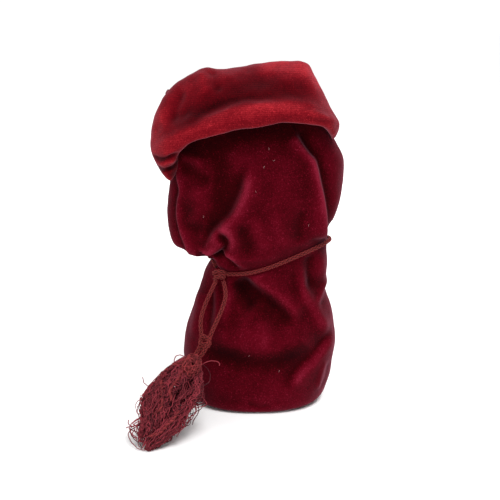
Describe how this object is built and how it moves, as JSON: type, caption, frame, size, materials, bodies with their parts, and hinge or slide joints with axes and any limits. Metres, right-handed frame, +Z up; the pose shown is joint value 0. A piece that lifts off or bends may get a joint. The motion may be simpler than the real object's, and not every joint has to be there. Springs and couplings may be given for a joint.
{
  "type": "rosin cake in a drawstring pouch",
  "caption": "Round cake of string-instrument rosin in a turned cup, inside a soft velvet drawstring pouch whose mouth is folded over and whose waist is tied with a tasselled braided cord.",
  "frame": {"origin": "bottom centre of the pouch's box, on the surface it stands on, measured without the cord's tails and tassel", "axes": "+Z up the pouch, +X to the right as the flap faces the viewer, +Y to the pouch's back"},
  "size_m": [0.0913, 0.0971, 0.152],
  "materials": {
    "velvet": "cotton velvet, cut pile",
    "cord": "matt braided cord",
    "tassel_yarn": "matt crinkled yarn",
    "thread": "matt sewing thread",
    "rosin": "glassy amber resin",
    "turned_wood": "waxed",
    "felt": "matt felt"
  },
  "bodies": {
    "pouch": {"front_panel": "velvet", "back_panel": "velvet", "left_seam_thread": "thread", "right_seam_thread": "thread", "waist_cord": "cord", "waist_knot": "cord", "rosin_cake": "rosin", "cake_cup": "turned_wood", "cup_felt": "felt"},
    "flap": {"flap_outer_layer": "velvet", "flap_inner_layer": "velvet", "outer_hem": "velvet", "inner_hem": "velvet", "hem_thread": "thread"},
    "tassel": {"left_tail_cord": "cord", "right_tail_cord": "cord", "tail_knot": "cord", "tassel_head": "tassel_yarn", "head_binding": "tassel_yarn", "tassel_skirt": "tassel_yarn"}
  },
  "joints": [
    {"name": "flap_fold", "type": "hinge", "parent": "pouch", "child": "flap", "pos_m": [0, -0.001, 0.1425], "axis": [-1, 0, 0], "range_deg": [0, 150]},
    {"name": "tassel_swing", "type": "hinge", "parent": "pouch", "child": "tassel", "pos_m": [-0.012, -0.014, 0.0616], "axis": [-0.8805, 0.474, 0], "range_deg": [0, 55]}
  ]
}
